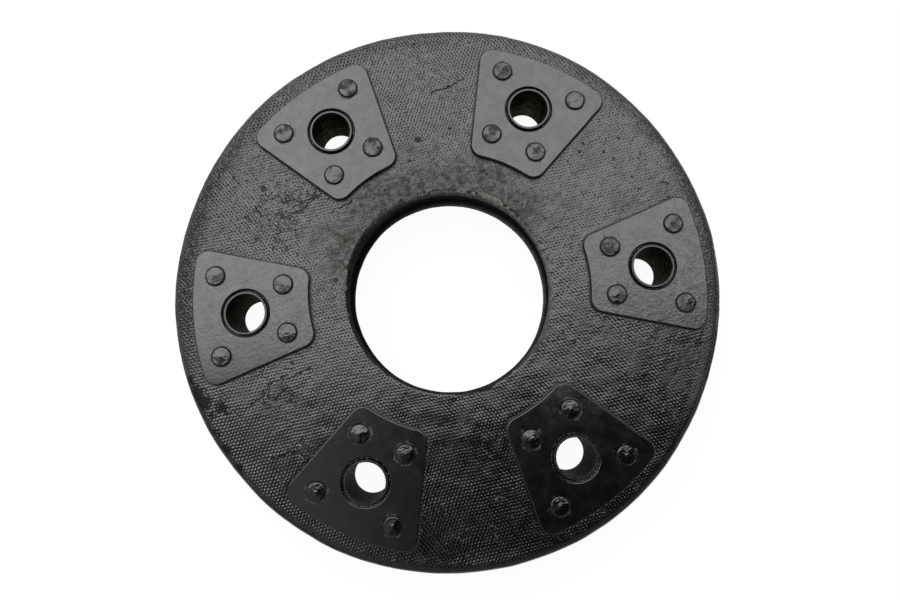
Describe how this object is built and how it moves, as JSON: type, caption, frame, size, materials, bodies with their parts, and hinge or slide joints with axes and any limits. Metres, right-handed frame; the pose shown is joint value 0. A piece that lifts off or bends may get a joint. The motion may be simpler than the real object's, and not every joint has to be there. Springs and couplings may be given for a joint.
{
  "type": "flexible disc coupling",
  "caption": "Flexible shaft coupling disc: a ring of rubberised canvas with sleeved bolt holes, each between riveted steel plates on both faces.",
  "frame": {"origin": "on the coupling's axis, half way through the thickness of the canvas ring", "axes": "+Z along the coupling's axis, towards the face with the set rivet heads; +X through station 1"},
  "size_m": [0.26, 0.26, 0.0339],
  "materials": {
    "rubberised_canvas": "cured rubber over a coarse plain weave, matt, scuffed",
    "plate_steel": "black paint on blanked sheet, satin",
    "sleeve_steel": "dark drawn tube with worn ends",
    "rivet_steel": "black paint over set steel heads"
  },
  "bodies": {
    "root": {"fabric_disc": "rubberised_canvas", "sleeve_1": "sleeve_steel", "sleeve_2": "sleeve_steel", "sleeve_3": "sleeve_steel", "sleeve_4": "sleeve_steel", "sleeve_5": "sleeve_steel", "sleeve_6": "sleeve_steel", "front_plate_1": "plate_steel", "front_plate_2": "plate_steel", "front_plate_3": "plate_steel", "front_plate_4": "plate_steel", "front_plate_5": "plate_steel", "front_plate_6": "plate_steel", "back_plate_1": "plate_steel", "back_plate_2": "plate_steel", "back_plate_3": "plate_steel", "back_plate_4": "plate_steel", "back_plate_5": "plate_steel", "back_plate_6": "plate_steel", "rivets_1": "rivet_steel", "rivets_2": "rivet_steel", "rivets_3": "rivet_steel", "rivets_4": "rivet_steel", "rivets_5": "rivet_steel", "rivets_6": "rivet_steel"}
  },
  "joints": []
}
